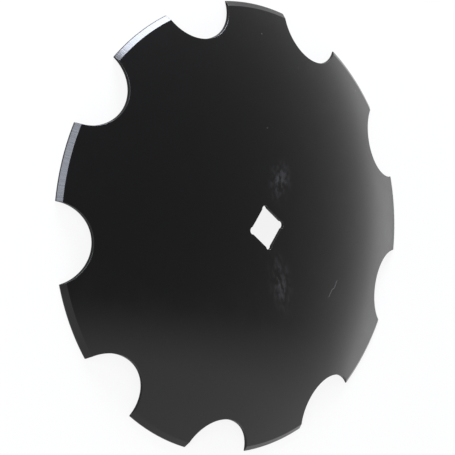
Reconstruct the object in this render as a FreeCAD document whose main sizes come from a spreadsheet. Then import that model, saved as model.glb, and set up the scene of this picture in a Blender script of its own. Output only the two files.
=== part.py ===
"""Notched harrow disc blade, as a FreeCAD macro. All sizes are millimetres.

The blade is one pressed and hardened steel plate: a spherical dish with nine round notches in its rim,
a cutting bevel ground on the convex side of each lobe, and a square hole that the gang axle drives.

It lies hollow side down, as it rests on a floor. Z is the blade's axis and points out of the convex
side, the cutting edge lies in the plane Z = 0, and one notch and two flats of the hole face along X.
"""

import FreeCAD, Part
import math
import os

import Sketcher

# The driving dimensions: alias in the spreadsheet, value, and what it measures.
DIMENSIONS = (
    ("cutting_diameter", 510, "diameter over the cutting edge, the widest of the blade"),
    ("plate_thickness", 4, "thickness of the plate, square to its faces"),
    ("dish_depth", 52.5, "depth of the hollow at the axis, from the plane of the cutting edge"),
    ("bevel_width", 5.6, "radial width of the bevel"),
    ("edge_land", 1.4, "height of the land that the bevel leaves at the cutting edge"),
    ("notch_count", 9, "number of notches"),
    ("notch_radius", 46, "radius of a notch"),
    ("notch_centre_radius", 262.5, "distance of a notch's centre from the axis"),
    ("hole_width", 36, "width of the square hole, between two opposite flats"),
    ("relief_radius", 4.3, "radius of the relief in a corner of the hole"),
    ("relief_inset", 3.4, "distance of a relief's centre from the two flats beside it"),
    ("edge_break", 0.4, "chamfer that breaks the punched edges on the convex side"),
)

# Numbers that Sketcher gives to the points of an edge, and to its own origin and axes.
START, END, CENTRE = 1, 2, 3
ORIGIN = (-1, 1)
H_AXIS, V_AXIS = -1, -2

FULL_TURN = 360
Z_AXIS = FreeCAD.Vector(0, 0, 1)
SAME_PLACE = 0.01  # closer than this, a point counts as lying on a face or an edge

doc = FreeCAD.newDocument("harrow_disc_blade")
sheet = doc.addObject("Spreadsheet::Sheet", "Sizes")
blade = doc.addObject("PartDesign::Body", "disc_blade")
blade.Label = "disc_blade"


def fill_sheet():
    """Writes the driving dimensions into the spreadsheet, one a row."""
    for row, (alias, value, meaning) in enumerate(DIMENSIONS, start=1):
        sheet.set(f"A{row}", meaning)
        sheet.set(f"B{row}", str(value))
        sheet.setAlias(f"B{row}", alias)
    doc.recompute()


def new_sketch(name, plane_role):
    """Adds an empty sketch on one of the body's origin planes."""
    sketch = blade.newObject("Sketcher::SketchObject", name)
    plane = next(feature for feature in blade.Origin.OriginFeatures if feature.Role == plane_role)
    sketch.AttachmentSupport = [(plane, "")]
    sketch.MapMode = "FlatFace"
    return sketch


def add_rules(sketch, *rules):
    """Adds constraints that have no size, each one as Sketcher.Constraint's arguments."""
    for rule in rules:
        sketch.addConstraint(Sketcher.Constraint(*rule))


def add_size(sketch, name, formula, kind, *places):
    """Adds a named dimension and binds it to a formula of the sheet's aliases."""
    drawn_size = float(sheet.evalExpression(formula.replace("Sizes.", "")))
    index = sketch.addConstraint(Sketcher.Constraint(kind, *places, drawn_size))
    sketch.renameConstraint(index, name)
    sketch.setExpression(f"Constraints.{name}", formula)


def chain(sketch, edges):
    """Joins the end of each edge to the start of the next one, and the last to the first."""
    for edge, next_edge in zip(edges, edges[1:] + edges[:1]):
        add_rules(sketch, ("Coincident", edge, END, next_edge, START))


def draw_blade_section():
    """Draws half the blade's section: two arcs about one centre, the axis, the land and the bevel."""
    edge_radius = sheet.cutting_diameter / 2
    hollow_radius = (edge_radius**2 + sheet.dish_depth**2) / (2 * sheet.dish_depth)
    domed_radius = hollow_radius + sheet.plate_thickness
    centre = FreeCAD.Vector(0, sheet.dish_depth - hollow_radius, 0)

    def sphere_arc(radius, reach):
        """The arc of a given radius, from the distance reach off the axis up to the axis."""
        circle = Part.Circle(centre, Z_AXIS, radius)
        return Part.ArcOfCircle(circle, math.acos(reach / radius), math.pi / 2)

    hollow_arc = sphere_arc(hollow_radius, edge_radius)
    domed_arc = sphere_arc(domed_radius, edge_radius - sheet.bevel_width)
    land_foot = FreeCAD.Vector(edge_radius, 0, 0)
    land_top = FreeCAD.Vector(edge_radius, sheet.edge_land, 0)

    section = new_sketch("blade_section", "XZ_Plane")
    hollow, axis, domed, bevel, land = section.addGeometry(
        [
            hollow_arc,
            Part.LineSegment(hollow_arc.EndPoint, domed_arc.EndPoint),
            domed_arc,
            Part.LineSegment(domed_arc.StartPoint, land_top),
            Part.LineSegment(land_top, land_foot),
        ]
    )
    add_rules(
        section,
        ("Coincident", hollow, END, axis, START),
        ("Coincident", axis, END, domed, END),
        ("Coincident", domed, START, bevel, START),
        ("Coincident", bevel, END, land, START),
        ("Coincident", land, END, hollow, START),
        ("Coincident", hollow, CENTRE, domed, CENTRE),
        ("PointOnObject", hollow, CENTRE, V_AXIS),
        ("PointOnObject", axis, START, V_AXIS),
        ("PointOnObject", axis, END, V_AXIS),
        ("PointOnObject", land, END, H_AXIS),
        ("Vertical", land),
    )
    add_size(section, "edge_radius", "Sizes.cutting_diameter / 2", "DistanceX", *ORIGIN, land, END)
    add_size(section, "dish_depth", "Sizes.dish_depth", "DistanceY", *ORIGIN, axis, START)
    add_size(section, "thickness", "Sizes.plate_thickness", "DistanceY", axis, START, axis, END)
    add_size(section, "bevel_width", "Sizes.bevel_width", "DistanceX", bevel, START, bevel, END)
    add_size(section, "edge_land", "Sizes.edge_land", "DistanceY", land, END, land, START)
    doc.recompute()
    return section


def turn_dish(section):
    """Turns the section about the axis: the dished plate with its bevel all the way round."""
    dish = blade.newObject("PartDesign::Revolution", "dish")
    dish.Profile = section
    dish.ReferenceAxis = (section, ["V_Axis"])
    dish.Angle = FULL_TURN
    doc.recompute()


def punch(sketch, name):
    """Cuts a sketch's outline through the whole blade, parallel to the axis."""
    volume_before = blade.Shape.Volume
    pocket = blade.newObject("PartDesign::Pocket", name)
    pocket.Profile = sketch
    pocket.Type = "ThroughAll"
    pocket.SideType = "Symmetric"
    doc.recompute()
    if not pocket.Shape.Volume < volume_before:
        raise RuntimeError(f"{name} cuts nothing")
    return pocket


def punch_axle_hole():
    """Punches the square hole. A round relief in each corner keeps the plate from cracking there."""
    half_width = sheet.hole_width / 2
    relief_place = half_width - sheet.relief_inset
    flat_end = relief_place - math.sqrt(sheet.relief_radius**2 - sheet.relief_inset**2)
    relief_middle = relief_place + sheet.relief_radius * math.sqrt(1 / 2)
    corner = (
        FreeCAD.Vector(half_width, flat_end, 0),
        FreeCAD.Vector(relief_middle, relief_middle, 0),
        FreeCAD.Vector(flat_end, half_width, 0),
    )

    outline = new_sketch("axle_hole_outline", "XY_Plane")
    reliefs, flats = [], []
    for quarter in range(4):
        turn = FreeCAD.Rotation(Z_AXIS, FULL_TURN * quarter / 4)
        next_turn = FreeCAD.Rotation(Z_AXIS, FULL_TURN * (quarter + 1) / 4)
        start, middle, end = (turn * point for point in corner)
        reliefs.append(outline.addGeometry(Part.Arc(start, middle, end)))
        flats.append(outline.addGeometry(Part.LineSegment(end, next_turn * corner[0])))
    chain(outline, [edge for pair in zip(reliefs, flats) for edge in pair])
    top, left, bottom, right = flats
    add_rules(
        outline,
        ("Horizontal", top),
        ("Horizontal", bottom),
        ("Vertical", left),
        ("Vertical", right),
        *(("Equal", reliefs[0], relief) for relief in reliefs[1:]),
        ("Symmetric", reliefs[0], CENTRE, reliefs[2], CENTRE, *ORIGIN),
        ("Symmetric", reliefs[1], CENTRE, reliefs[3], CENTRE, *ORIGIN),
        ("Symmetric", reliefs[0], CENTRE, reliefs[1], CENTRE, V_AXIS),
    )
    half = "Sizes.hole_width / 2"
    add_size(outline, "to_right_flat", half, "DistanceX", *ORIGIN, right, START)
    add_size(outline, "to_top_flat", half, "DistanceY", *ORIGIN, top, START)
    add_size(outline, "to_left_flat", half, "DistanceX", left, START, *ORIGIN)
    add_size(outline, "to_bottom_flat", half, "DistanceY", bottom, START, *ORIGIN)
    add_size(outline, "relief_radius", "Sizes.relief_radius", "Radius", reliefs[0])
    inset = "Sizes.relief_inset"
    add_size(outline, "inset_from_right", inset, "DistanceX", reliefs[0], CENTRE, right, END)
    add_size(outline, "inset_from_top", inset, "DistanceY", reliefs[0], CENTRE, top, START)
    doc.recompute()
    punch(outline, "axle_hole")


def punch_notches():
    """Punches one notch on the X axis and repeats it round the rim."""
    outline = new_sketch("notch_outline", "XY_Plane")
    centre = FreeCAD.Vector(sheet.notch_centre_radius, 0, 0)
    circle = outline.addGeometry(Part.Circle(centre, Z_AXIS, sheet.notch_radius))
    add_rules(outline, ("PointOnObject", circle, CENTRE, H_AXIS))
    add_size(outline, "radius", "Sizes.notch_radius", "Radius", circle)
    add_size(outline, "place", "Sizes.notch_centre_radius", "DistanceX", *ORIGIN, circle, CENTRE)
    doc.recompute()
    first_notch = punch(outline, "first_notch")

    notches = blade.newObject("PartDesign::PolarPattern", "notches")
    notches.Originals = [first_notch]
    notches.Axis = (outline, ["N_Axis"])
    notches.Angle = FULL_TURN
    notches.setExpression("Occurrences", "Sizes.notch_count")
    blade.Tip = notches
    doc.recompute()


def break_punched_edges():
    """Chamfers the edges of the hole and the notches where they meet the convex face."""
    punched = blade.Tip
    domed_face = max(punched.Shape.Faces, key=lambda face: face.BoundBox.ZMax)
    bevel_start = sheet.cutting_diameter / 2 - sheet.bevel_width
    edge_names = []
    for number, edge in enumerate(punched.Shape.Edges, start=1):
        middle = edge.valueAt((edge.FirstParameter + edge.LastParameter) / 2)
        on_domed_face = domed_face.distToShape(Part.Vertex(middle))[0] < SAME_PLACE
        off_axis = math.hypot(middle.x, middle.y)
        if on_domed_face and off_axis < bevel_start - SAME_PLACE:
            edge_names.append(f"Edge{number}")

    edge_break = blade.newObject("PartDesign::Chamfer", "edge_break")
    edge_break.Base = (punched, edge_names)
    edge_break.setExpression("Size", "Sizes.edge_break")
    blade.Tip = edge_break
    doc.recompute()


def check_document():
    """Stops if a feature failed or the blade isn't one valid solid."""
    for feature in doc.Objects:
        if {"Invalid", "Error"} & set(feature.State):
            raise RuntimeError(f"{feature.Name} failed: {feature.State}")
    shape = blade.Shape
    if shape.isNull() or not shape.isValid() or len(shape.Solids) != 1:
        raise RuntimeError("the blade is not one valid solid")


fill_sheet()
turn_dish(draw_blade_section())
punch_axle_hole()
punch_notches()
break_punched_edges()
check_document()

os.makedirs("parts", exist_ok=True)
blade.Shape.exportStep(f"parts/{blade.Label}.step")
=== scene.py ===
"""Notched harrow disc blade: one pressed steel plate in gloss black dipping paint, lying on its rim."""

import math

import bpy
from mathutils import Matrix, Vector


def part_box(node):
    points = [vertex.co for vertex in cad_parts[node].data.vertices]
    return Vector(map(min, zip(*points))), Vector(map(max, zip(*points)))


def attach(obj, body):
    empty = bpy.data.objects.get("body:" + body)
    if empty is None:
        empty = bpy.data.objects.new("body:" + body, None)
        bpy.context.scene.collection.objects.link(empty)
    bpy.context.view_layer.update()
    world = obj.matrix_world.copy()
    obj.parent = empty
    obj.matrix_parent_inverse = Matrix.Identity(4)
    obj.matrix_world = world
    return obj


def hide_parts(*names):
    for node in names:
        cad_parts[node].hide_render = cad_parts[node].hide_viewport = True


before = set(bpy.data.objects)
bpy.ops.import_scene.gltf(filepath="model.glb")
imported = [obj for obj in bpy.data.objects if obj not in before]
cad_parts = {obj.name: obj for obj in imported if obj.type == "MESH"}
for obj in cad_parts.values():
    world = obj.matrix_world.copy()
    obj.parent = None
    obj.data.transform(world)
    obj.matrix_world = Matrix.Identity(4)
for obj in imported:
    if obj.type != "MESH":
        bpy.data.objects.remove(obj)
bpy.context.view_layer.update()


# --- Blade -------------------------------------------------------------------------------------------
# The real blade is one plate of hardened boron steel, pressed hot into a shallow dish. Its nine
# notches and its square axle hole are punched straight through, and its rim is ground to a bevel on
# the domed side. An axle through the hole and a spool on each side hold it, so nothing is fixed to it.

MM = 0.001
rim_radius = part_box("disc_blade")[1].y
plate_thickness = 4.0 * MM
dish_depth = 52.5 * MM
hollow_radius = (rim_radius ** 2 + dish_depth ** 2) / (2 * dish_depth)
dome_radius = hollow_radius + plate_thickness
dish_centre = dish_depth - hollow_radius

bevel_width = 5.6 * MM
edge_land = 1.4 * MM
bevel_softening = 0.45 * MM

notch_count = 9
notch_radius = 46.0 * MM
notch_ring_radius = 262.5 * MM
notch_pitch = 2 * math.pi / notch_count

hole_half_width = 18.0 * MM
relief_radius = 4.3 * MM
relief_place = 14.6 * MM

# Punching draws the domed side's edges down a little, and the paint rounds them.
edge_roll = 0.5 * MM
roll_steps = [(edge_roll * (1 - math.sin(turn)), edge_roll * (1 - math.cos(turn)), turn)
              for turn in (0, math.pi / 6, math.pi / 3, math.pi / 2)]

# How finely the plate is laid out: lines from the hole to the rim, and rings across them. The lines
# of nine notches and nine lobes are as many as those of the four sides and four reliefs.
notch_lines = 48
lobe_lines = 20
side_lines = 93
relief_lines = 60
ring_count = 24
softened_rows = 4


def on_sphere(x, y, radius):
    """The height of the dome or the hollow above a place in plan."""
    return dish_centre + math.sqrt(radius ** 2 - x ** 2 - y ** 2)


def off_sphere(place):
    """The way the dome faces at a place."""
    return (Vector(place) - Vector((0, 0, dish_centre))).normalized()


def turned(x, y, angle):
    return x * math.cos(angle) - y * math.sin(angle), x * math.sin(angle) + y * math.cos(angle)


def rolled_facing(top_facing, wall_facing, turn):
    return (top_facing * math.cos(turn) + wall_facing * math.sin(turn)).normalized()


places = {}
corners = []
faces = []
facings = []
finishes = []


def lay(rows, finish):
    """Faces between neighbouring rows of (place, facing). Places that meet become one corner."""
    for near, far in zip(rows, rows[1:]):
        for pieces in zip(near, near[1:], far[1:], far):
            face, ways = [], []
            for place, way in pieces:
                key = tuple(round(value, 7) for value in place)
                if key not in places:
                    places[key] = len(corners)
                    corners.append(Vector(place))
                if places[key] not in face:
                    face.append(places[key])
                    ways.append(way)
            if len(face) < 3:
                continue
            across = corners[face[2]] - corners[face[0]]
            if across.cross(corners[face[-1]] - corners[face[1]]).dot(ways[0] + ways[1] + ways[2]) < 0:
                face.reverse()
                ways.reverse()
            faces.append(face)
            facings.extend(ways)
            finishes.append(finish)


def hole_outline(inset):
    """The axle hole's outline in plan, set back into the steel: (x, y, facing) once round."""
    side, relief = hole_half_width + inset, relief_radius + inset
    neck = math.acos((side - relief_place) / relief)
    neck_height = relief_place - relief * math.sin(neck)
    outline = []
    for quarter in range(4):
        turn = quarter * math.pi / 2
        for line in range(side_lines):
            x, y = turned(side, neck_height * (2 * line / side_lines - 1), turn)
            outline.append((x, y, Vector((*turned(-1, 0, turn), 0))))
        for line in range(relief_lines):
            angle = -neck + (math.pi / 2 + 2 * neck) * line / relief_lines
            out_x, out_y = turned(math.cos(angle), math.sin(angle), turn)
            x, y = turned(relief_place, relief_place, turn)
            outline.append((x + relief * out_x, y + relief * out_y, Vector((-out_x, -out_y, 0))))
    return outline


def notch_spread(radius, inset):
    """How far round from a notch's middle its wall, set back by inset, is at this radius."""
    reach = radius ** 2 + notch_ring_radius ** 2 - (notch_radius + inset) ** 2
    return math.acos(reach / (2 * radius * notch_ring_radius))


def notch_facing(x, y, notch):
    """The way the notch's wall faces at a place: towards the middle of the punch."""
    middle_x, middle_y = turned(notch_ring_radius, 0, notch * notch_pitch)
    return Vector((middle_x - x, middle_y - y, 0)).normalized()


def softened(start, corner, end):
    """A softened corner of the rim's section: (radius, height, elevation of its facing) along it."""
    section = []
    for row in range(softened_rows):
        share = row / (softened_rows - 1)
        radius, height = ((1 - share) ** 2 * a + 2 * share * (1 - share) * b + share ** 2 * c
                          for a, b, c in zip(start, corner, end))
        section.append((radius, height, start[2] + share * (end[2] - start[2])))
    return section


# The rim's section, from the dome over the ground bevel and down the cutting edge to the hollow.
bevel_start = rim_radius - bevel_width
bevel_top = on_sphere(bevel_start, 0, dome_radius)
slope = Vector((bevel_width, edge_land - bevel_top)).normalized()
bevel_facing = math.atan2(slope.x, -slope.y)
dome_end = bevel_start - bevel_softening
rim_section = softened(
    (dome_end, on_sphere(dome_end, 0, dome_radius), math.acos(dome_end / dome_radius)),
    (bevel_start, bevel_top),
    (bevel_start + slope.x * bevel_softening, bevel_top + slope.y * bevel_softening, bevel_facing),
)
rim_section += softened(
    (rim_radius - slope.x * bevel_softening, edge_land - slope.y * bevel_softening, bevel_facing),
    (rim_radius, edge_land),
    (rim_radius, edge_land - bevel_softening, 0.0),
)
rim_section.append((rim_radius, 0.0, 0.0))


def notch_corner(row, step, notch, side):
    """Where a row of the rim's section rolls over into a notch, on the notch's side -1 or 1."""
    radius, height, facing = rim_section[row]
    inset, drop, turn = roll_steps[step]
    lean = facing if row else math.pi / 2
    radius -= drop * math.cos(lean)
    x, y = turned(radius, 0, notch * notch_pitch + side * notch_spread(radius, inset))
    height = height - drop * math.sin(lean) if rim_section[row + 1:] else on_sphere(x, y, hollow_radius)
    outward = Vector((x, y, 0)).normalized() * math.cos(facing) + Vector((0, 0, math.sin(facing)))
    return (x, y, height), rolled_facing(outward, notch_facing(x, y, notch), turn)


def notch_edge(step, notch):
    """The notch's edge on the dome, rolled over by one step, from one lobe to the next."""
    inset, drop, turn = roll_steps[step]
    end = notch_corner(0, step, 0, 1)[0]
    reach = math.atan2(end[1], notch_ring_radius - end[0])
    edge = []
    for line in range(notch_lines + 1):
        angle = reach * (2 * line / notch_lines - 1)
        x, y = turned(notch_ring_radius - (notch_radius + inset) * math.cos(angle),
                      (notch_radius + inset) * math.sin(angle), notch * notch_pitch)
        top = (x, y, on_sphere(x, y, dome_radius))
        facing = rolled_facing(off_sphere(top), notch_facing(x, y, notch), turn)
        edge.append(((x, y, top[2] - drop), facing))
    return edge


def foot(place, facing):
    """The place straight below on the hollow, facing the same way."""
    return (place[0], place[1], on_sphere(place[0], place[1], hollow_radius)), facing


steps = range(len(roll_steps))
rows = range(len(rim_section))
dome_edge = []
hollow_edge = []
for notch in range(notch_count):
    first_line = len(dome_edge)
    rolls = [notch_edge(step, notch) for step in steps]
    lay(rolls, "dipped")
    before = [notch_corner(row, steps[-1], notch, -1) for row in reversed(rows)]
    after = [notch_corner(row, steps[-1], notch, 1) for row in rows]
    wall_top = before + rolls[-1] + after
    wall_foot = [foot(*top) for top in wall_top]
    lay([wall_top, wall_foot], "sheared")
    lines = [0] * len(rows) + list(range(notch_lines + 1)) + [notch_lines] * len(rows)
    dome_edge += [place for place, facing in rolls[0][:-1]]
    hollow_edge += [(place, first_line + line) for (place, facing), line in zip(wall_foot, lines)]

    lobe = []
    for row, (radius, height, facing) in enumerate(rim_section):
        start = notch * notch_pitch + notch_spread(radius, edge_roll)
        end = (notch + 1) * notch_pitch - notch_spread(radius, edge_roll)
        middle = []
        for line in range(1, lobe_lines):
            angle = start + (end - start) * line / lobe_lines
            x, y = turned(radius, 0, angle)
            outward_x, outward_y = turned(math.cos(facing), 0, angle)
            middle.append(((x, y, height), Vector((outward_x, outward_y, math.sin(facing)))))
        lobe.append([notch_corner(row, step, notch, 1) for step in reversed(steps)] + middle
                    + [notch_corner(row, step, notch + 1, -1) for step in steps])
    lay(lobe[:softened_rows], "dipped")
    lay(lobe[softened_rows - 1:softened_rows + 1], "ground")
    lay(lobe[softened_rows:], "dipped")
    lobe_start = first_line + notch_lines
    lines = [0] * steps[-1] + list(range(lobe_lines + 1)) + [lobe_lines] * steps[-1]
    dome_edge += [place for place, facing in lobe[0][steps[-1]:-len(steps)]]
    hollow_edge += [(place, lobe_start + line) for (place, facing), line in zip(lobe[-1], lines)]


def rings(outline, edge, radius, side):
    """The plate's surface in rings, from the axle hole out to the rim's edge."""
    surface = []
    for ring in range(ring_count + 1):
        share = ring / ring_count
        row = []
        for place, line in edge + edge[:1]:
            inner, outer = outline[line % len(outline)], dome_edge[line % len(dome_edge)]
            x, y = (a + (b - a) * share for a, b in zip(inner[:2], outer[:2]))
            at = place if ring == ring_count else (x, y, on_sphere(x, y, radius))
            row.append((at, off_sphere(at) * side))
        surface.append(row)
    return surface


def matched(outline):
    """The hole's outline, started where its lines run straightest out to the rim's."""
    start = math.atan2(dome_edge[0][1], dome_edge[0][0])
    nearest = min(range(len(outline)), key=lambda line: abs(
        math.atan2(outline[line][1], outline[line][0]) - start))
    return outline[nearest:] + outline[:nearest]


hole_rolls = []
for inset, drop, turn in roll_steps:
    outline = matched(hole_outline(inset))
    row = []
    for x, y, facing in outline + outline[:1]:
        top = (x, y, on_sphere(x, y, dome_radius))
        row.append(((x, y, top[2] - drop), rolled_facing(off_sphere(top), facing, turn)))
    hole_rolls.append(row)
lay(hole_rolls, "dipped")
lay([hole_rolls[-1], [foot(*top) for top in hole_rolls[-1]]], "sheared")
rolled_outline = [place for place, facing in hole_rolls[0][:-1]]
wall_outline = [place for place, facing in hole_rolls[-1][:-1]]
lay(rings(rolled_outline, [(place, line) for line, place in enumerate(dome_edge)], dome_radius, 1), "dipped")
lay(rings(wall_outline, hollow_edge, hollow_radius, -1), "dipped")

finish_names = ["dipped", "ground", "sheared"]
blade_mesh = bpy.data.meshes.new("dressed_blade")
blade_mesh.from_pydata(corners, [], faces)
blade_mesh.polygons.foreach_set("use_smooth", [True] * len(faces))
blade_mesh.polygons.foreach_set("material_index", [finish_names.index(finish) for finish in finishes])
blade_mesh.normals_split_custom_set(facings)
blade = bpy.data.objects.new("dressed_blade", blade_mesh)
bpy.context.scene.collection.objects.link(blade)
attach(blade, "root")
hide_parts("disc_blade")


def linear(hex_colour):
    """An sRGB hex colour as the linear RGBA that Blender's nodes take."""
    values = []
    for place in (0, 2, 4):
        value = int(hex_colour[place:place + 2], 16) / 255
        values.append(value / 12.92 if value <= 0.04045 else ((value + 0.055) / 1.055) ** 2.4)
    return (*values, 1.0)


def add_node(tree, kind, settings=(), **inputs):
    """A shader node with its settings, and each input, by name or by number, linked or set."""
    node = tree.nodes.new(kind)
    for name, value in dict(settings).items():
        setattr(node, name, value)
    for name, value in inputs.items():
        number = name.replace("input_", "")
        socket = node.inputs[int(number)] if number.isdigit() else node.inputs[name.replace("_", " ")]
        if isinstance(value, bpy.types.NodeSocket):
            tree.links.new(value, socket)
        else:
            socket.default_value = value
    return node


def new_material(name):
    material = bpy.data.materials.new(name)
    material.use_nodes = True
    material.node_tree.nodes.clear()
    return material, material.node_tree


# Gloss black alkyd enamel, put on by dipping: a deep black with a clear shine. The film flows out
# in low waves about 9 mm long, and handling leaves dull cloudy rubs, fine dust nibs and one scuff.
dipped, tree = new_material("black_alkyd_enamel_dipped")
where = add_node(tree, "ShaderNodeTexCoord").outputs["Object"]
waves = add_node(tree, "ShaderNodeTexNoise", Vector=where, Scale=1 / (9 * MM), Detail=2.0)
clouds = add_node(tree, "ShaderNodeTexNoise", Vector=where, Scale=1 / (26 * MM), Detail=5.0, Roughness=0.62)
haze = add_node(tree, "ShaderNodeMapRange", Value=clouds.outputs["Fac"], From_Min=0.35, From_Max=0.75,
                To_Min=0.0, To_Max=1.0)
# Dust nibs about 2 mm across under the film, one to each 34 mm or so, drawn coarser than the real
# 0.3 mm nibs so that they show.
nibs = add_node(tree, "ShaderNodeTexVoronoi", Vector=where, Scale=1 / (34 * MM))
nib = add_node(tree, "ShaderNodeMapRange", Value=nibs.outputs["Distance"], From_Min=0.02, From_Max=0.035,
               To_Min=1.0, To_Max=0.0)


def rub(centre, length, width, turn):
    """A cloudy patch of handling marks, strongest in its middle, lying along one direction."""
    placed = add_node(tree, "ShaderNodeMapping", {"vector_type": "TEXTURE"}, Vector=where,
                      Location=(centre[0] * MM, centre[1] * MM, 50 * MM), Rotation=(0, 0, turn),
                      Scale=(length * MM, width * MM, 60 * MM))
    fade = add_node(tree, "ShaderNodeTexGradient", {"gradient_type": "QUADRATIC_SPHERE"},
                    Vector=placed.outputs[0])
    grain = add_node(tree, "ShaderNodeTexNoise", Vector=placed.outputs[0], Scale=5.0, Detail=3.0)
    patchy = add_node(tree, "ShaderNodeMapRange", Value=grain.outputs["Fac"], From_Min=0.42, From_Max=0.68)
    return add_node(tree, "ShaderNodeMath", {"operation": "MULTIPLY"}, input_0=fade.outputs["Fac"],
                    input_1=patchy.outputs[0]).outputs[0]


# The rubs lie beside the axle hole, where a spool or a hand has touched the paint.
upper_rub = rub((14, -54), 34, 24, math.radians(-70))
lower_rub = rub((-56, 36), 52, 24, math.radians(146))
rubs = add_node(tree, "ShaderNodeMath", {"operation": "ADD"}, input_0=upper_rub, input_1=lower_rub).outputs[0]

# The scuff is a wavering line about 23 mm long and 1 mm wide, on the far side of the hole.
scuff_at = add_node(tree, "ShaderNodeMapping", Vector=where, Location=(134.5 * MM, 11 * MM, 0))
scuff_axes = add_node(tree, "ShaderNodeSeparateXYZ", Vector=scuff_at.outputs[0])
waver = add_node(tree, "ShaderNodeTexNoise", {"noise_dimensions": "1D"}, W=scuff_axes.outputs["Y"],
                 Scale=1 / (9 * MM), Detail=1.0)
drift = add_node(tree, "ShaderNodeMath", {"operation": "MULTIPLY_ADD"}, input_0=waver.outputs["Fac"],
                 input_1=6 * MM, input_2=-3 * MM)
across = add_node(tree, "ShaderNodeMath", {"operation": "SUBTRACT"}, input_0=scuff_axes.outputs["X"],
                  input_1=drift.outputs[0])
off_line = add_node(tree, "ShaderNodeMath", {"operation": "ABSOLUTE"}, input_0=across.outputs[0])
off_end = add_node(tree, "ShaderNodeMath", {"operation": "ABSOLUTE"}, input_0=scuff_axes.outputs["Y"])
scuff_line = add_node(tree, "ShaderNodeMapRange", Value=off_line.outputs[0], From_Min=0.3 * MM,
                      From_Max=0.8 * MM, To_Min=1.0, To_Max=0.0)
scuff_end = add_node(tree, "ShaderNodeMapRange", Value=off_end.outputs[0], From_Min=10 * MM,
                     From_Max=13 * MM, To_Min=1.0, To_Max=0.0)
scuff = add_node(tree, "ShaderNodeMath", {"operation": "MULTIPLY"}, input_0=scuff_line.outputs[0],
                 input_1=scuff_end.outputs[0]).outputs[0]

marks = add_node(tree, "ShaderNodeMath", {"operation": "MULTIPLY_ADD", "use_clamp": True}, input_0=rubs,
                 input_1=0.55, input_2=scuff)
with_nibs = add_node(tree, "ShaderNodeMath", {"operation": "MULTIPLY_ADD", "use_clamp": True},
                     input_0=nib.outputs[0], input_1=0.45, input_2=marks.outputs[0])
colour = add_node(tree, "ShaderNodeMix", {"data_type": "RGBA"}, input_0=with_nibs.outputs[0])
colour.inputs[6].default_value = linear("070708")
colour.inputs[7].default_value = linear("565658")
gloss = add_node(tree, "ShaderNodeMapRange", Value=haze.outputs[0], To_Min=0.13, To_Max=0.2)
relief = add_node(tree, "ShaderNodeBump", Height=waves.outputs["Fac"], Distance=0.004 * MM, Strength=1.0)
shader = add_node(tree, "ShaderNodeBsdfPrincipled", Base_Color=colour.outputs[2],
                  Roughness=gloss.outputs[0], IOR=1.5, Normal=relief.outputs[0])
add_node(tree, "ShaderNodeOutputMaterial", Surface=shader.outputs[0])
blade_mesh.materials.append(dipped)

# The same enamel over the ground bevel: the wheel's lines run across the bevel and still show
# through the film as fine bright and dark streaks. They are drawn 1.6 mm apart, where a 36 grit
# wheel leaves them about 0.5 mm apart, so that they show.
ground, tree = new_material("black_alkyd_enamel_over_ground_steel")
axes = add_node(tree, "ShaderNodeSeparateXYZ", Vector=add_node(tree, "ShaderNodeTexCoord").outputs["Object"])
round_rim = add_node(tree, "ShaderNodeMath", {"operation": "ARCTAN2"}, input_0=axes.outputs["Y"],
                     input_1=axes.outputs["X"])
streaks = add_node(tree, "ShaderNodeTexNoise", {"noise_dimensions": "1D"}, W=round_rim.outputs[0],
                   Scale=rim_radius / (1.6 * MM), Detail=3.0, Roughness=0.6)
worn = add_node(tree, "ShaderNodeMapRange", Value=streaks.outputs["Fac"], From_Min=0.3, From_Max=0.7,
                To_Min=0.12, To_Max=0.26)
lines_relief = add_node(tree, "ShaderNodeBump", Height=streaks.outputs["Fac"], Distance=0.03 * MM,
                        Strength=0.7)
shader = add_node(tree, "ShaderNodeBsdfPrincipled", Base_Color=linear("08080a"), Roughness=worn.outputs[0],
                  IOR=1.5, Normal=lines_relief.outputs[0])
add_node(tree, "ShaderNodeOutputMaterial", Surface=shader.outputs[0])
blade_mesh.materials.append(ground)

# Punched walls: the shear leaves the steel torn and matt, with lines straight through the plate, and
# the thin film there stays dull and dark. The lines are drawn 1.6 mm apart, coarser than the real ones.
sheared, tree = new_material("black_alkyd_enamel_over_sheared_steel")
where = add_node(tree, "ShaderNodeTexCoord").outputs["Object"]
drawn = add_node(tree, "ShaderNodeMapping", Vector=where, Scale=(1, 1, 0.12))
torn = add_node(tree, "ShaderNodeTexNoise", Vector=drawn.outputs[0], Scale=1 / (1.6 * MM), Detail=3.0)
tear_relief = add_node(tree, "ShaderNodeBump", Height=torn.outputs["Fac"], Distance=0.08 * MM, Strength=0.6)
dull = add_node(tree, "ShaderNodeMapRange", Value=torn.outputs["Fac"], To_Min=0.35, To_Max=0.55)
shader = add_node(tree, "ShaderNodeBsdfPrincipled", Base_Color=linear("050505"), Roughness=dull.outputs[0],
                  IOR=1.5, Specular_IOR_Level=0.16, Normal=tear_relief.outputs[0])
add_node(tree, "ShaderNodeOutputMaterial", Surface=shader.outputs[0])
blade_mesh.materials.append(sheared)


# --- Floor -------------------------------------------------------------------------------------------
# A plain pale studio floor. It shows nearly white to the eye and in the paint, and still takes the
# blade's soft shadow.

floor_half_width = 6.0
floor_glow_share = 0.88
floor_mesh = bpy.data.meshes.new("studio_floor")
floor_corners = [(x * floor_half_width, y * floor_half_width, 0)
                 for x, y in ((-1, -1), (1, -1), (1, 1), (-1, 1))]
floor_mesh.from_pydata(floor_corners, [], [(0, 1, 2, 3)])
floor = bpy.data.objects.new("studio_floor", floor_mesh)
bpy.context.scene.collection.objects.link(floor)
matt_white, tree = new_material("matt_white_paper")
paper = add_node(tree, "ShaderNodeBsdfDiffuse", Color=linear("f2f2f2"))
shown_white = add_node(tree, "ShaderNodeEmission", Strength=1.0)


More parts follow.
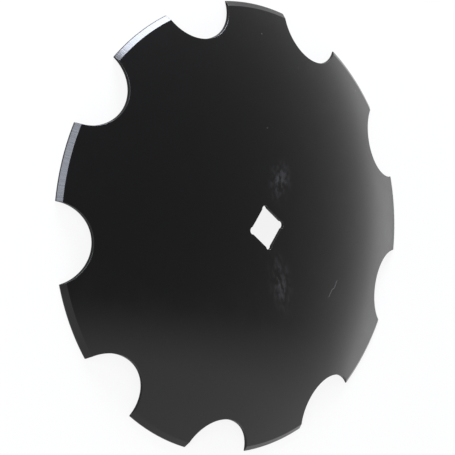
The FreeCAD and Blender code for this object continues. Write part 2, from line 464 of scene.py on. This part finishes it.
def seen_rays(tree):
    """1 for the camera's own rays and for those that meet gloss or glass on the way."""
    path = add_node(tree, "ShaderNodeLightPath")
    direct = add_node(tree, "ShaderNodeMath", {"operation": "MAXIMUM"}, input_0=path.outputs["Is Camera Ray"],
                      input_1=path.outputs["Is Glossy Ray"])
    return add_node(tree, "ShaderNodeMath", {"operation": "MAXIMUM"}, input_0=direct.outputs[0],
                    input_1=path.outputs["Is Transmission Ray"]).outputs[0]


share = add_node(tree, "ShaderNodeMath", {"operation": "MULTIPLY"}, input_0=seen_rays(tree),
                 input_1=floor_glow_share)
mixed = add_node(tree, "ShaderNodeMixShader", input_0=share.outputs[0], input_1=paper.outputs[0],
                 input_2=shown_white.outputs[0])
add_node(tree, "ShaderNodeOutputMaterial", Surface=mixed.outputs[0])
floor_mesh.materials.append(matt_white)


# --- Camera ------------------------------------------------------------------------------------------
# A long lens about 2.75 m away, above the blade's near side, and rolled so that the blade looks
# as if it stood on its rim.

camera_place = Vector((1.4825, 1.0489, 2.0638))
film_width = 36
film_widths_to_lens = 2431 / 455
camera = bpy.data.objects.new("camera", bpy.data.cameras.new("camera"))
bpy.context.scene.collection.objects.link(camera)
forward = Vector((-0.53776, -0.38019, -0.75250)).normalized()
right = Vector((-0.60242, -0.45115, 0.65845)).normalized()
up = right.cross(forward)
turn = Matrix((right, up, -forward)).transposed().to_quaternion()
camera.matrix_world = Matrix.LocRotScale(camera_place, turn, None)
camera.data.sensor_width = film_width
camera.data.lens = film_width * film_widths_to_lens
bpy.context.scene.camera = camera


# --- Light -------------------------------------------------------------------------------------------
# A white sweep stands round the blade and fades to a dim ceiling, with a pale table edge on one side.
# Two soft boxes, slightly blue, stand low on the other side and light the bevel.

world = bpy.data.worlds.new("studio")
bpy.context.scene.world = world
world.use_nodes = True
tree = world.node_tree
tree.nodes.clear()
look = add_node(tree, "ShaderNodeTexCoord").outputs["Generated"]
height = add_node(tree, "ShaderNodeSeparateXYZ", Vector=look)
low = add_node(tree, "ShaderNodeMath", {"operation": "MAXIMUM"}, input_0=height.outputs["Z"], input_1=0.15)
fall = add_node(tree, "ShaderNodeMath", {"operation": "POWER"}, input_0=low.outputs[0], input_1=-1.12)
sweep = add_node(tree, "ShaderNodeMath", {"operation": "MULTIPLY"}, input_0=fall.outputs[0], input_1=0.275)
table_way = add_node(tree, "ShaderNodeVectorMath", {"operation": "DOT_PRODUCT"}, input_0=look,
                     input_1=(-0.59, 0.807, 0.014))
table = add_node(tree, "ShaderNodeMapRange", Value=table_way.outputs["Value"], From_Min=0.28, From_Max=0.46)
level = add_node(tree, "ShaderNodeMix", input_0=table.outputs[0], input_2=sweep.outputs[0], input_3=1.05)
studio = add_node(tree, "ShaderNodeBackground", Strength=level.outputs[0])
backdrop = add_node(tree, "ShaderNodeBackground", Color=(1, 1, 1, 1), Strength=1.0)
path = add_node(tree, "ShaderNodeLightPath")
mixed = add_node(tree, "ShaderNodeMixShader", input_0=path.outputs["Is Camera Ray"],
                 input_1=studio.outputs[0], input_2=backdrop.outputs[0])
add_node(tree, "ShaderNodeOutputWorld", Surface=mixed.outputs[0])


def soft_box(name, azimuth, elevation, distance, width, height, radiance):
    """A rectangular lamp that faces the blade, given by where it stands and how bright its face is."""
    lamp = bpy.data.objects.new(name, bpy.data.lights.new(name, "AREA"))
    bpy.context.scene.collection.objects.link(lamp)
    lamp.data.shape = "RECTANGLE"
    lamp.data.size = width
    lamp.data.size_y = height
    lamp.data.energy = radiance * math.pi * width * height
    lamp.data.color = linear("eaf0ff")[:3]
    lamp.visible_camera = False
    flat = Vector((*turned(1, 0, math.radians(azimuth)), 0)) * math.cos(math.radians(elevation))
    away = flat + Vector((0, 0, math.sin(math.radians(elevation))))
    lamp.location = away * distance
    lamp.rotation_euler = away.to_track_quat("Z", "Y").to_euler()


soft_box("low_soft_box", azimuth=-60, elevation=18, distance=4.0, width=2.2, height=1.2, radiance=26)
soft_box("high_soft_box", azimuth=5, elevation=38, distance=4.0, width=3.0, height=1.0, radiance=9)

bpy.context.scene.view_settings.view_transform = "Standard"
